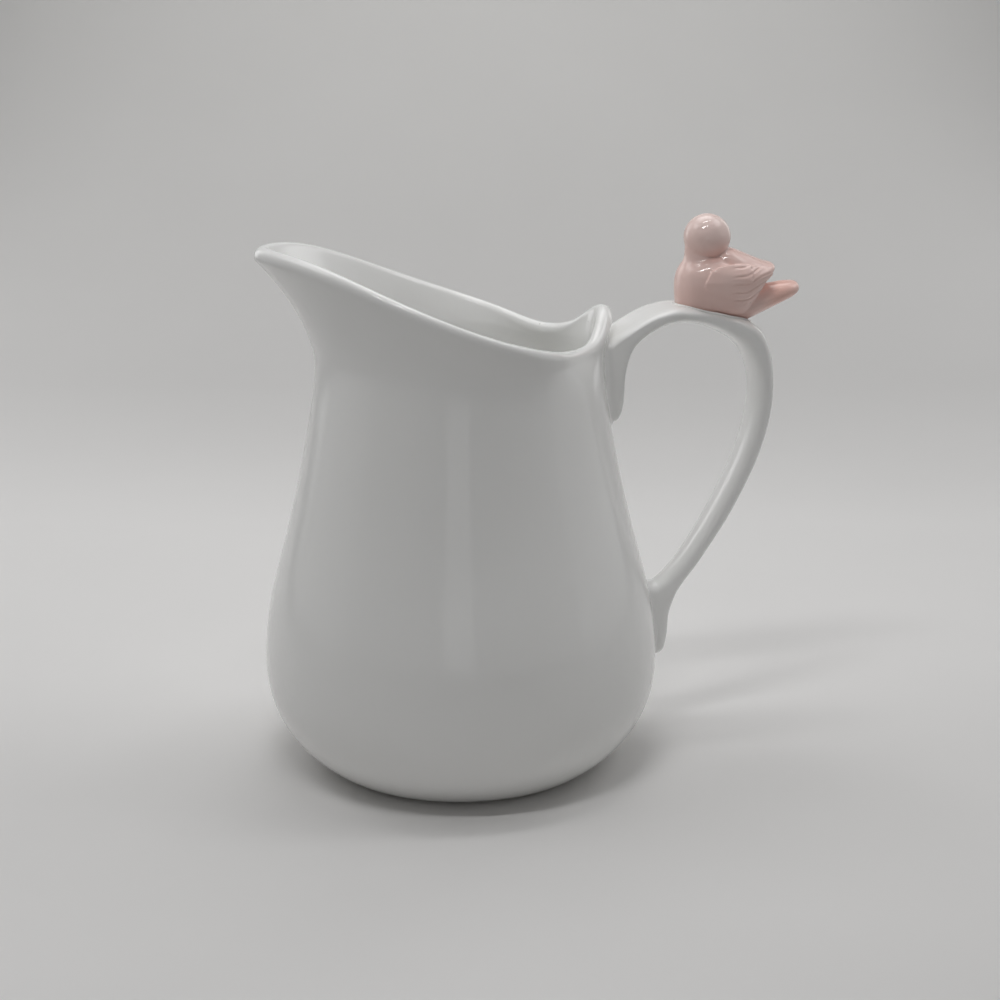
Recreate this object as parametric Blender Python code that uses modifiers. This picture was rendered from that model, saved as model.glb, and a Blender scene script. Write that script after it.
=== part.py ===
"""Creamer: a slip-cast jug with a strap handle and a small bird seated on the handle's crown.

Metres, +Z up. The origin is on the jug's axis, on the table. +X points to the handle, -X to the spout.
"""
import bisect

import bmesh
import bpy
from math import acos, atan2, cos, exp, hypot, pi, radians, sin
from mathutils import Matrix, Vector
from mathutils.geometry import interpolate_bezier

MM = 0.001

# Jug: foot, belly and neck
FOOT_RADIUS = 29.0 * MM
FOOT_EASE = 0.6 * MM
FOOT_SPREAD = 5.3 * MM
FOOT_RISE = 3.6 * MM
BELLY_RADIUS = 41.5 * MM
BELLY_HEIGHT = 22.0 * MM
BELLY_FULLNESS_BELOW = 12.1 * MM
BELLY_FULLNESS_ABOVE = 18.4 * MM
NECK_RADIUS = 29.0 * MM
NECK_HEIGHT = 88.0 * MM
NECK_TAPER = 5.3 * MM
NECK_SWEEP = 41.2 * MM
WALL = 2.7 * MM
FLOOR = 3.2 * MM

# Jug: mouth. Angles run round the axis from the spout (0) to the handle (180).
SPOUT_HEIGHT = 110.2 * MM
SPOUT_PULL = 9.5 * MM
SPOUT_SPREAD = radians(22.9)
SPOUT_TIP_ANGLE = radians(6.0)
FLARE_HEIGHT = 79.7 * MM
FLARE_CURVE = 2.04
SIDE_PULL = 2.7 * MM
SIDE_ANGLE = radians(70)
RIM_LOW = 89.5 * MM
RIM_SWEEP = 1.58
LIP_RISE = 6.7 * MM
LIP_SPREAD = radians(17.7)
LIP_PULL = 3.7 * MM
LIP_ANGLE = radians(130)
SHOULDER_PINCH = 5.2 * MM
SHOULDER_ANGLE = radians(140)
SHOULDER_SPREAD = radians(28)

# Handle: a strap, wide at the top, between two pads that lie along the wall
STRAP_WIDTH_TOP = 13.0 * MM
STRAP_WIDTH_FOOT = 6.8 * MM
STRAP_TAPER = 1.5
STRAP_CROWN = 3.5 * MM
STRAP_GRIP = 4.15 * MM
STRAP_EDGE = 1.4 * MM
HANDLE_REACH = 66.9 * MM
HANDLE_CROWN = 95.85 * MM
CROWN_SETBACK = 20.6 * MM
GRIP_HEIGHT = 78.0 * MM
UPPER_PAD_BELOW_RIM = 0.8 * MM
UPPER_PAD_LENGTH = 15.7 * MM
UPPER_PAD_STAND = 2.3 * MM
LOWER_PAD_FOOT = 18.3 * MM
LOWER_PAD_LENGTH = 16.4 * MM
LOWER_PAD_STAND = 4.1 * MM
PAD_ROOT = 5.0 * MM

# Luting slip between the cast pieces
SLIP_BED = 0.5 * MM
SLIP_BEAD = 0.6 * MM
SEAT_GAP = 0.3 * MM

# Bird: a body on the strap, with the head, back, wings and tail placed from it
BIRD_BEHIND_CROWN = 7.9 * MM
BODY_LENGTH = 18.0 * MM
BODY_WIDTH = 13.6 * MM
BODY_HEIGHT = 12.6 * MM
BODY_SINK = 1.6 * MM
BODY_SQUARENESS = 2.9
HEAD_DIAMETER = 10.0 * MM
HEAD_FORWARD = 1.9 * MM
HEAD_SINK = 1.2 * MM
NECK_LENGTH = 8.6 * MM
NECK_WIDTH = 8.4 * MM
NECK_DEPTH = 6.6 * MM
NECK_FORWARD = 2.5 * MM
NECK_ASIDE = 0.6 * MM
BACK_LENGTH = 16.0 * MM
BACK_WIDTH = 10.4 * MM
BACK_HEIGHT = 9.2 * MM
BACK_BEHIND = 2.9 * MM
BACK_ABOVE = 3.4 * MM
BACK_TILT = radians(20)
WING_LENGTH = 17.0 * MM
WING_DEPTH = 8.4 * MM
WING_THICKNESS = 4.0 * MM
WING_SINK = 1.8 * MM
WING_BEHIND = 4.7 * MM
WING_ABOVE = 2.4 * MM
WING_TILT = radians(8)
WING_TURN = radians(13)
TAIL_LENGTH = 18.9 * MM
TAIL_SINK = 6.5 * MM
TAIL_BELOW = 4.6 * MM
TAIL_ROOT_WIDTH = 11.0 * MM
TAIL_ROOT_DEPTH = 11.5 * MM
TAIL_TIP_WIDTH = 8.0 * MM
TAIL_TIP_DEPTH = 3.6 * MM
BEAK_LENGTH = 2.6 * MM
BEAK_RADIUS = 1.3 * MM
BEAK_TIP = 0.26 * MM

# Fineness of the surfaces
JUG_SIDES = 72
CURVE_STEPS = 8
LIP_STEPS = 4
STRAP_STEPS = 3
STRAP_CORNER_STEPS = 3
BALL_SEGMENTS = 24
BALL_RINGS = 14
FINE = 20
SHARP_EDGE = radians(50)
MERGE = 0.01 * MM

# Glazes
WHITE_GLAZE = (0.80, 0.80, 0.78)
PINK_GLAZE = (0.80, 0.56, 0.52)
SLIP_WHITE = (0.74, 0.73, 0.70)
GLAZE_ROUGHNESS = 0.12
SLIP_ROUGHNESS = 0.25


def new_collection(name):
    """Add an empty collection to the scene."""
    collection = bpy.data.collections.new(name)
    bpy.context.scene.collection.children.link(collection)
    return collection


def new_object(name, mesh, collection):
    """Put a mesh into the scene as a smooth-shaded object."""
    mesh.shade_smooth()
    mesh.set_sharp_from_angle(angle=SHARP_EDGE)
    obj = bpy.data.objects.new(name, mesh)
    collection.objects.link(obj)
    return obj


def new_cutter(name, mesh):
    """A mesh that only shapes other pieces."""
    obj = new_object(name, mesh, CUTTERS)
    obj.hide_render = True
    obj.display_type = "WIRE"
    return obj


def finish(obj, name, colour, roughness):
    """Give a piece its own glaze."""
    material = bpy.data.materials.new(name)
    material.use_nodes = True
    shader = material.node_tree.nodes["Principled BSDF"]
    shader.inputs["Base Color"].default_value = (*colour, 1.0)
    shader.inputs["Roughness"].default_value = roughness
    shader.inputs["Metallic"].default_value = 0.0
    obj.data.materials.clear()
    obj.data.materials.append(material)


def combine(obj, other, operation):
    """Boolean the cutter into the piece."""
    modifier = obj.modifiers.new(operation.lower() + "_" + other.name, "BOOLEAN")
    modifier.operation = operation
    modifier.object = other
    modifier.solver = "EXACT"


def smooth_run(points, steps):
    """A smooth curve through the points, as a list of vectors."""
    points = [Vector(p) for p in points]
    run = [points[0]]
    for i in range(len(points) - 1):
        before = points[max(i - 1, 0)]
        here, there = points[i], points[i + 1]
        after = points[min(i + 2, len(points) - 1)]
        third = (there - here).length / 3
        knot_a = here + (there - before).normalized() * third
        knot_b = there - (after - here).normalized() * third
        run += interpolate_bezier(here, knot_a, knot_b, there, steps + 1)[1:]
    return run


def wall_curve(steps):
    """The jug's outer wall from the foot up to a straight neck, as (radius, height) pairs."""
    foot = Vector((FOOT_RADIUS, 0.0))
    belly = Vector((BELLY_RADIUS, BELLY_HEIGHT))
    neck = Vector((NECK_RADIUS, NECK_HEIGHT))
    low = interpolate_bezier(foot, foot + Vector((FOOT_SPREAD, FOOT_RISE)),
                             belly - Vector((0.0, BELLY_FULLNESS_BELOW)), belly, steps + 1)
    high = interpolate_bezier(belly, belly + Vector((0.0, BELLY_FULLNESS_ABOVE)),
                              neck + Vector((NECK_TAPER, -NECK_SWEEP)), neck, steps + 3)
    return low + high[1:]


FINE_WALL = sorted(wall_curve(FINE * CURVE_STEPS), key=lambda p: p.y)
FINE_HEIGHTS = [p.y for p in FINE_WALL]


def wall_radius(height):
    """Outer radius of the plain turned wall at a height."""
    if height >= NECK_HEIGHT:
        return NECK_RADIUS
    i = max(bisect.bisect_right(FINE_HEIGHTS, height), 1)
    low, high = FINE_WALL[i - 1], FINE_WALL[i]
    share = max((height - low.y) / (high.y - low.y), 0.0)
    return low.x + share * (high.x - low.x)


def rim_height(angle):
    """Height of the rim's crest: high at the spout, dipping, and raised again at the back lip."""
    sweep = ((1 + cos(angle)) / 2) ** RIM_SWEEP
    lip = exp(-((pi - angle) / LIP_SPREAD) ** 2)
    return RIM_LOW + (SPOUT_HEIGHT - RIM_LOW) * sweep + LIP_RISE * lip


def rim_pull(angle):
    """How far the rim stands outside the plain neck."""
    spout = exp((SPOUT_TIP_ANGLE - hypot(angle, SPOUT_TIP_ANGLE)) / SPOUT_SPREAD)
    turn = (angle - SIDE_ANGLE) / (LIP_ANGLE - SIDE_ANGLE)
    back = (1 - cos(min(max(turn, 0.0), 1.0) * pi)) / 2
    pinch = exp(-((angle - SHOULDER_ANGLE) / SHOULDER_SPREAD) ** 2)
    plain = SIDE_PULL + (LIP_PULL - SIDE_PULL) * back
    return plain + SPOUT_PULL * spout - SHOULDER_PINCH * pinch


LIP_BASE = SPOUT_HEIGHT - WALL / 2


def mouth_point(angle, radius, height):
    """Where a point of the plain turned blank goes when the mouth is formed: its radius and height."""
    if height <= FLARE_HEIGHT:
        return radius, height
    share = min((height - FLARE_HEIGHT) / (LIP_BASE - FLARE_HEIGHT), 1.0)
    over = max(height - LIP_BASE, 0.0)
    formed = FLARE_HEIGHT + share * (rim_height(angle) - WALL / 2 - FLARE_HEIGHT)
    depth = wall_radius(height) - radius
    return wall_radius(formed) + rim_pull(angle) * share ** FLARE_CURVE - depth, formed + over


def back_wall(height):
    """Radius of the formed wall on the handle's side."""
    share = max((height - FLARE_HEIGHT) / (rim_height(pi) - WALL / 2 - FLARE_HEIGHT), 0.0)
    return wall_radius(height) + rim_pull(pi) * share ** FLARE_CURVE


def turned(name, profile, collection):
    """Turn a profile round the axis, then form the mouth on the blank."""
    mesh = bpy.data.meshes.new(name)
    mesh.from_pydata([(r, 0.0, z) for r, z in profile], [(i, i + 1) for i in range(len(profile) - 1)], [])
    blank = bpy.data.objects.new(name + "_profile", mesh)
    collection.objects.link(blank)
    screw = blank.modifiers.new("turn", "SCREW")
    screw.axis = "Z"
    screw.steps = JUG_SIDES
    screw.render_steps = JUG_SIDES
    screw.use_merge_vertices = True
    screw.merge_threshold = MERGE
    solid = bpy.data.meshes.new_from_object(blank.evaluated_get(bpy.context.evaluated_depsgraph_get()))
    bpy.data.objects.remove(blank)
    for vertex in solid.vertices:
        x, y, z = vertex.co
        radius = hypot(x, y)
        if radius < MERGE:
            continue
        angle = acos(max(-1.0, min(1.0, -x / radius)))
        new_radius, new_z = mouth_point(angle, radius, z)
        vertex.co = (x * new_radius / radius, y * new_radius / radius, new_z)
    return solid


def neck_heights():
    """Heights of the straight neck's rings, up to the base of the rounded lip."""
    rings = CURVE_STEPS - 1
    return [NECK_HEIGHT + (LIP_BASE - NECK_HEIGHT) * i / rings for i in range(1, rings + 1)]


def jug_profile():
    """Half section of the jug: inside, lip, outside and flat underside."""
    outside = wall_curve(CURVE_STEPS) + [Vector((NECK_RADIUS, z)) for z in neck_heights()]
    inside = []
    for i in range(1, len(outside)):
        here = outside[i]
        along = (outside[min(i + 1, len(outside) - 1)] - outside[i - 1]).normalized()
        inner = here + Vector((-along.y, along.x)) * WALL
        if inner.y > FLOOR + WALL / 2:
            inside.append(inner)
    corner = Vector((inside[0].x - WALL, FLOOR))
    middle = Vector((0.0, FLOOR))
    lip_centre = Vector((NECK_RADIUS - WALL / 2, LIP_BASE))
    lip = [lip_centre + Vector((-cos(t), sin(t))) * (WALL / 2)
           for t in (pi * i / LIP_STEPS for i in range(1, LIP_STEPS))]
    foot = [(FOOT_RADIUS - FOOT_EASE, 0.0), (0.0, 0.0)]
    above_foot = [p for p in outside if p.y >= FOOT_EASE]
    return [tuple(p) for p in [middle, corner] + inside + lip + above_foot[::-1]] + foot


def jug_core(name, grow):
    """The jug's outer form without its hollow, swollen by a distance, to fit other pieces to its wall."""
    outside = wall_curve(CURVE_STEPS) + [Vector((NECK_RADIUS, z)) for z in neck_heights()]
    profile = [(0.0, FLARE_HEIGHT)] + [(p.x + grow, p.y) for p in outside[::-1]] + [(0.0, 0.0)]
    return new_cutter(name, turned(name, profile, CUTTERS))


def between(start, end, sideways, upright):
    """A point at these shares of the way from start to end, in x and in height."""
    return Vector((start.x + sideways * (end.x - start.x), start.y + upright * (end.y - start.y)))


def handle_rails():
    """Stations along the strap: outer edge (x, z), inner edge (x, z) and width."""
    top = RIM_LOW - UPPER_PAD_BELOW_RIM
    shoulder = Vector((back_wall(top), top))
    heel = Vector((back_wall(top - UPPER_PAD_LENGTH), top - UPPER_PAD_LENGTH))
    pad = Vector((UPPER_PAD_STAND, UPPER_PAD_LENGTH))
    crown = Vector((HANDLE_REACH - CROWN_SETBACK, HANDLE_CROWN))
    grip = Vector((HANDLE_REACH, GRIP_HEIGHT))
    toe = Vector((back_wall(LOWER_PAD_FOOT), LOWER_PAD_FOOT))
    low_pad = Vector((LOWER_PAD_STAND, LOWER_PAD_LENGTH))
    ankle = toe + low_pad * Vector((1.5, 0.9))
    crotch = Vector((back_wall(toe.y + LOWER_PAD_LENGTH), toe.y + LOWER_PAD_LENGTH))
    outer = [
        shoulder + PAD_ROOT * Vector((-1.0, -0.5)),
        between(shoulder, crown, 0.05, 0.12),
        between(shoulder, crown, 0.14, 0.26),
        between(shoulder, crown, 0.25, 0.41),
        between(shoulder, crown, 0.44, 0.65),
        between(shoulder, crown, 0.67, 0.88),
        crown,
        between(crown, grip, 0.48, 0.106),
        between(crown, grip, 0.865, 0.35),
        grip,
        between(grip, ankle, 0.092, 0.276),
        between(grip, ankle, 0.391, 0.579),
        between(grip, ankle, 0.757, 0.841),
        ankle,
        toe + low_pad * Vector((1.1, 0.58)),
        toe + low_pad * Vector((1.0, 0.22)),
        toe + low_pad * Vector((0.85, 0.03)),
        toe + PAD_ROOT * Vector((-1.0, 0.0)),
    ]
    inner = [
        heel + PAD_ROOT * Vector((-1.0, 0.0)),
        heel + pad * Vector((0.45, -0.04)),
        heel + pad * Vector((1.0, 0.13)),
        heel + pad * Vector((1.04, 0.5)),
        outer[4] + STRAP_CROWN * Vector((-0.63, -1.87)),
        outer[5] + STRAP_CROWN * Vector((-0.58, -1.3)),
        outer[6] + STRAP_CROWN * Vector((-0.09, -0.99)),
        outer[7] + STRAP_CROWN * Vector((-0.6, -1.07)),
        outer[8] + STRAP_GRIP * Vector((-0.92, -0.99)),
        outer[9] + STRAP_GRIP * Vector((-1.0, -0.18)),
        outer[10] + STRAP_GRIP * Vector((-0.964, 0.18)),
        outer[11] + STRAP_GRIP * Vector((-0.855, 0.386)),
        outer[12] + STRAP_GRIP * Vector((-0.747, 0.482)),
        crotch + low_pad * Vector((1.12, 0.15)),
        crotch + low_pad * Vector((0.44, 0.02)),
        crotch + PAD_ROOT * Vector((-0.3, -0.06)),
        crotch + PAD_ROOT * Vector((-0.6, -0.1)),
        crotch + PAD_ROOT * Vector((-1.0, -0.12)),
    ]
    first, last = 5, 13
    stations = []
    for i, (a, b) in enumerate(zip(outer, inner)):
        share = min(max((i - first) / (last - first), 0.0), 1.0) ** STRAP_TAPER
        width = STRAP_WIDTH_TOP + (STRAP_WIDTH_FOOT - STRAP_WIDTH_TOP) * share
        stations.append((a, b, width))
    return stations


def strap_section(outer, inner, width, grow):
    """One oblong section of the strap with rounded edges, between its outer and inner edges."""
    middle = (outer + inner) / 2
    across = (outer - inner).normalized()
    half_depth = (outer - inner).length / 2
    edge = min(STRAP_EDGE, half_depth, width / 2)
    ring = []
    for corner in range(4):
        start = corner * pi / 2
        side = 1 if corner in (0, 3) else -1
        face = 1 if corner in (0, 1) else -1
        for i in range(STRAP_CORNER_STEPS + 1):
            turn = start + pi / 2 * i / STRAP_CORNER_STEPS
            y = side * (width / 2 - edge) + (edge + grow) * cos(turn)
            depth = face * (half_depth - edge) + (edge + grow) * sin(turn)
            spot = middle + across * depth
            ring.append((spot.x, y, spot.y))
    return ring


def strap_mesh(name, stations, grow):
    """Loft the strap's sections into a closed solid."""
    outer = smooth_run([s[0] for s in stations], STRAP_STEPS)
    inner = smooth_run([s[1] for s in stations], STRAP_STEPS)
    widths = [p.x for p in smooth_run([(s[2], 0.0) for s in stations], STRAP_STEPS)]
    shape = bmesh.new()
    rings = []
    for a, b, width in zip(outer, inner, widths):
        rings.append([shape.verts.new(co) for co in strap_section(a, b, width, grow)])
    for near, far in zip(rings, rings[1:]):
        for i in range(len(near)):
            j = (i + 1) % len(near)
            shape.faces.new((near[i], near[j], far[j], far[i]))
    shape.faces.new(rings[0][::-1])
    shape.faces.new(rings[-1])
    bmesh.ops.recalc_face_normals(shape, faces=shape.faces)
    mesh = bpy.data.meshes.new(name)
    shape.to_mesh(mesh)
    shape.free()
    return mesh


def ball(name, centre, size, turn=Matrix(), squareness=2.0):
    """An ellipsoid from a UV sphere; a squareness above 2 makes it fuller."""
    shape = bmesh.new()
    bmesh.ops.create_uvsphere(shape, u_segments=BALL_SEGMENTS, v_segments=BALL_RINGS, radius=0.5)
    for vertex in shape.verts:
        vertex.co *= 0.5 * sum(abs(c) ** squareness for c in vertex.co) ** (-1 / squareness)
    place = Matrix.Translation(centre) @ turn @ Matrix.Diagonal((*size, 1.0))
    bmesh.ops.transform(shape, matrix=place, verts=shape.verts)
    mesh = bpy.data.meshes.new(name)
    shape.to_mesh(mesh)
    shape.free()
    return mesh


def tail(name, centre):
    """The upturned tail: a tapered block rounded by subdivision."""
    root = centre + Vector((BODY_LENGTH / 2 - TAIL_SINK, 0.0, -TAIL_BELOW))
    tip = Vector((root.x + TAIL_LENGTH, 0.0, centre.z))
    shape = bmesh.new()
    bmesh.ops.create_cube(shape, size=1.0)
    for vertex in shape.verts:
        if vertex.co.x > 0:
            vertex.co = tip + Vector((0.0, vertex.co.y * TAIL_TIP_WIDTH, vertex.co.z * TAIL_TIP_DEPTH))
        else:
            vertex.co = root + Vector((0.0, vertex.co.y * TAIL_ROOT_WIDTH, vertex.co.z * TAIL_ROOT_DEPTH))
    mesh = bpy.data.meshes.new(name)
    shape.to_mesh(mesh)
    shape.free()
    piece = new_cutter(name, mesh)
    rounding = piece.modifiers.new("round", "SUBSURF")
    rounding.levels = 2
    rounding.render_levels = 2
    return piece


def beak(name, head):
    """A short beak on the far side of the head."""
    root = head + Vector((0.0, HEAD_DIAMETER / 2 - BEAK_RADIUS, 0.0))
    depth = BEAK_LENGTH + BEAK_RADIUS
    place = Matrix.Translation(root + Vector((0.0, depth / 2, 0.0))) @ Matrix.Rotation(-pi / 2, 4, "X")
    shape = bmesh.new()
    bmesh.ops.create_cone(shape, cap_ends=True, segments=BALL_RINGS, radius1=BEAK_RADIUS,
                          radius2=BEAK_TIP, depth=depth, matrix=place)
    mesh = bpy.data.meshes.new(name)
    shape.to_mesh(mesh)
    shape.free()
    return new_cutter(name, mesh)


def bird_place(stations):
    """Middle of the bird's body, above the strap behind the crown, and the strap's slope there."""
    outer = smooth_run([s[0] for s in stations], FINE * STRAP_STEPS)
    crown = max(outer, key=lambda p: p.y)
    behind = [p for p in outer if p.x >= crown.x + BIRD_BEHIND_CROWN and p.y > GRIP_HEIGHT]
    spot, after = behind[0], behind[1]
    slope = Matrix.Rotation(atan2(spot.y - after.y, after.x - spot.x), 4, "Y")
    return Vector((spot.x, 0.0, spot.y + BODY_HEIGHT / 2 - BODY_SINK)), slope


def bird_body(name, centre, slope):
    """The bird's full body, tilted to lie along the strap."""
    return ball(name, centre, (BODY_LENGTH, BODY_WIDTH, BODY_HEIGHT), slope, BODY_SQUARENESS)


def add_bird_forms(obj, centre):
    """Join the head, neck, back, wings, tail and beak to the body."""
    head_place = centre + Vector((-HEAD_FORWARD, 0.0, (BODY_HEIGHT + HEAD_DIAMETER) / 2 - HEAD_SINK))
    head = new_cutter("bird_head", ball("bird_head", head_place, [HEAD_DIAMETER] * 3))
    neck_place = Vector((centre.x - NECK_FORWARD, NECK_ASIDE, head_place.z - HEAD_DIAMETER / 2 + HEAD_SINK))
    neck = new_cutter("bird_neck", ball("bird_neck", neck_place, (NECK_LENGTH, NECK_WIDTH, NECK_DEPTH)))
    back_place = centre + Vector((BACK_BEHIND, 0.0, BACK_ABOVE))
    back_turn = Matrix.Rotation(BACK_TILT, 4, "Y")
    back = ball("bird_back", back_place, (BACK_LENGTH, BACK_WIDTH, BACK_HEIGHT), back_turn)
    forms = [new_cutter("bird_back", back), neck, head]
    for side in (-1, 1):
        place = centre + Vector((WING_BEHIND, side * (BODY_WIDTH / 2 - WING_SINK), WING_ABOVE))
        turn = Matrix.Rotation(-side * WING_TURN, 4, "Z") @ Matrix.Rotation(-WING_TILT, 4, "Y")
        wing = ball("bird_wing", place, (WING_LENGTH, WING_THICKNESS, WING_DEPTH), turn)
        forms.append(new_cutter("bird_wing", wing))
    forms += [tail("bird_tail", centre), beak("bird_beak", head_place)]
    for form in forms:
        combine(obj, form, "UNION")


for old in list(bpy.data.objects):
    bpy.data.objects.remove(old)

CREAMER = new_collection("creamer")
CUTTERS = new_collection("cutters")

body = new_object("jug_body", turned("jug_body", jug_profile(), CREAMER), CREAMER)
finish(body, "white_glaze_jug", WHITE_GLAZE, GLAZE_ROUGHNESS)

stations = handle_rails()
bed_out = SEAT_GAP + SLIP_BED
seat_out = bed_out + SEAT_GAP
wall_inner = jug_core("wall_under_slip", SEAT_GAP)
wall_bed = jug_core("wall_over_slip", bed_out)
wall_outer = jug_core("wall_under_pads", seat_out)

handle = new_object("handle", strap_mesh("handle", stations, 0.0), CREAMER)
combine(handle, wall_outer, "DIFFERENCE")
finish(handle, "white_glaze_handle", WHITE_GLAZE, GLAZE_ROUGHNESS)

for name, run in (("upper_slip_joint", stations[:5]), ("lower_slip_joint", stations[13:])):
    bed = new_object(name, strap_mesh(name, run, SLIP_BEAD), CREAMER)
    combine(bed, wall_bed, "INTERSECT")
    combine(bed, wall_inner, "DIFFERENCE")
    finish(bed, "slip_" + name, SLIP_WHITE, SLIP_ROUGHNESS)

perch, slope = bird_place(stations)
bird = new_object("bird", bird_body("bird", perch, slope), CREAMER)
add_bird_forms(bird, perch)
strap_seat = new_cutter("strap_under_bird", strap_mesh("strap_under_bird", stations, seat_out))
combine(bird, strap_seat, "DIFFERENCE")
finish(bird, "pink_glaze_bird", PINK_GLAZE, GLAZE_ROUGHNESS)

foot_print = new_object("bird_slip_joint", bird_body("bird_slip_joint", perch, slope), CREAMER)
strap_bed = new_cutter("strap_over_slip", strap_mesh("strap_over_slip", stations, bed_out))
strap_skin = new_cutter("strap_under_slip", strap_mesh("strap_under_slip", stations, SEAT_GAP))
combine(foot_print, strap_bed, "INTERSECT")
combine(foot_print, strap_skin, "DIFFERENCE")
finish(foot_print, "slip_bird_slip_joint", SLIP_WHITE, SLIP_ROUGHNESS)
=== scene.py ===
from math import atan2, cos, pi, radians, sin

import bmesh
import bpy
import numpy as np
from mathutils import Matrix, Vector
from mathutils.bvhtree import BVHTree


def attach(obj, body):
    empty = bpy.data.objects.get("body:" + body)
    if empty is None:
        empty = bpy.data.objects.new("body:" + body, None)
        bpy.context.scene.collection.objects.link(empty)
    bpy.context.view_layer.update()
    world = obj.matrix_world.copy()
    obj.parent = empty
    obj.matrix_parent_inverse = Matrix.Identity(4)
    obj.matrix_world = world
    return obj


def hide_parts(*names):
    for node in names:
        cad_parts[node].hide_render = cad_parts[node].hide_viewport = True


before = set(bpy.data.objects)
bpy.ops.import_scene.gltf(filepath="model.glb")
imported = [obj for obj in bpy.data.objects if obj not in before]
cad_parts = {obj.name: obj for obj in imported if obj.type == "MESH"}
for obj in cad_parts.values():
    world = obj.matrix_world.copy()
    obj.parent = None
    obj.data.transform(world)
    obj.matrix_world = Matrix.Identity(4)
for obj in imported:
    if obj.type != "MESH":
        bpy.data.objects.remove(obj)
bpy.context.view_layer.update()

# The jug is one slip-cast shell of white porcelain, about 2.7 mm thick, open at the top, with a flat base.
# Its spout is drawn out, its rim dips along the sides and rises to a small lip where the handle meets it.
# It is dipped in clear glaze, so the wall and the rounded rim shine inside and out.
MM = 0.001
WALL = 2.7 * MM
FLOOR = 3.2 * MM
FOOT = np.array([29.0, 0.0]) * MM
FOOT_SPREAD = np.array([5.3, 3.6]) * MM
FOOT_EDGE = 0.7 * MM
BELLY = np.array([41.5, 22.0]) * MM
BELLY_FULL_BELOW = np.array([0.0, 12.1]) * MM
BELLY_FULL_ABOVE = np.array([0.0, 18.4]) * MM
NECK = np.array([29.0, 88.0]) * MM
NECK_SWEEP = np.array([5.3, -41.2]) * MM
FLARE_HEIGHT = 79.7 * MM
FLARE_CURVE = 2.22
SPOUT_HEIGHT = 110.2 * MM
SPOUT_PULL = 9.5 * MM
SPOUT_TIP = radians(6.0)
SPOUT_SPREAD = radians(22.9)
RIM_LOW = 89.5 * MM
RIM_SWEEP = 1.58
SIDE_PULL = 2.7 * MM
SIDE_ANGLE = radians(70)
BACK_PULL = 1.0 * MM
BACK_ANGLE = radians(130)
PINCH = 5.2 * MM
PINCH_ANGLE = radians(140)
PINCH_SPREAD = radians(28)
LIP_RISE = 6.7 * MM
LIP_SPREAD = radians(17.7)
RIM_THICKENING = 0.3
SPOUT_THICK_SPREAD = radians(35)
LIP_THICK_SPREAD = radians(30)
LIP_ROLL = 1.7 * MM
LIP_BASE = SPOUT_HEIGHT - LIP_ROLL
INNER_CORNER = 4.0 * MM
INNER_CORNER_FULL = np.array([1.6, 2.2]) * MM
FLOOR_TURN = np.array([9.0, 0.0]) * MM
FLOOR_TURN_FULL = np.array([4.0, 0.0]) * MM
FOOT_ROUND = np.array([1.8, 0.0]) * MM
FOOT_ROUND_FULL = np.array([0.8, 0.0]) * MM
FOOT_EDGE_FULL = np.array([0.75, 0.5]) * MM
FLOOR_RINGS = np.array([0.5, 6.0, 12.0, 18.0]) * MM
BASE_RINGS = np.array([20.0, 12.0, 6.0, 0.5]) * MM
JUG_SIDES = 256
CREASE_ANGLE = radians(50)


def bezier(a, b, c, d, steps):
    """Points along a cubic curve."""
    t = np.linspace(0, 1, steps + 1)[:, None]
    return (1 - t) ** 3 * a + 3 * (1 - t) ** 2 * t * b + 3 * (1 - t) * t ** 2 * c + t ** 3 * d


def wall_curve(steps):
    """Radius and height of the outer wall from the foot to the top of the straight neck."""
    low = bezier(FOOT, FOOT + FOOT_SPREAD, BELLY - BELLY_FULL_BELOW, BELLY, steps)
    high = bezier(BELLY, BELLY + BELLY_FULL_ABOVE, NECK + NECK_SWEEP, NECK, 2 * steps)
    return np.vstack([low, high[1:]])


fine_wall = wall_curve(400)


def wall_radius(height):
    """Outer radius of the plain turned wall."""
    return np.interp(height, fine_wall[:, 1], fine_wall[:, 0])


def rim_height(angle):
    """Height of the rim's crest, by the angle round from the spout."""
    sweep = ((1 + np.cos(angle)) / 2) ** RIM_SWEEP
    lip = np.exp(-((pi - angle) / LIP_SPREAD) ** 2)
    return RIM_LOW + (SPOUT_HEIGHT - RIM_LOW) * sweep + LIP_RISE * lip


def rim_pull(angle):
    """How far the rim stands outside the plain neck, by the angle round from the spout."""
    spout = np.exp((SPOUT_TIP - np.hypot(angle, SPOUT_TIP)) / SPOUT_SPREAD)
    back = (1 - np.cos(np.clip((angle - SIDE_ANGLE) / (BACK_ANGLE - SIDE_ANGLE), 0, 1) * pi)) / 2
    pinch = np.exp(-((angle - PINCH_ANGLE) / PINCH_SPREAD) ** 2)
    return SIDE_PULL + BACK_PULL * back - PINCH * pinch + SPOUT_PULL * spout


def rim_wall(angle):
    """Thickness of the wall at the rim: a little more at the spout's tip and at the lip over the handle."""
    spout = np.exp(-(angle / SPOUT_THICK_SPREAD) ** 2)
    lip = np.exp(-((pi - angle) / LIP_THICK_SPREAD) ** 2)
    return WALL * (1 + RIM_THICKENING * (spout + lip))


def rim_base(angle):
    """Height and pull of the wall where the rolled lip begins, so that the lip's crest ends on the rim."""
    lean = np.arctan(FLARE_CURVE * rim_pull(angle) / (rim_height(angle) - LIP_ROLL - FLARE_HEIGHT))
    across, along = np.array([np.sin(lean), np.cos(lean)]) * rim_wall(angle) / 2
    rise = across + np.hypot(across, LIP_ROLL * np.cos(lean))
    reach = np.hypot(along, LIP_ROLL * np.sin(lean)) - along
    return rim_height(angle) - rise, rim_pull(angle) - reach


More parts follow.
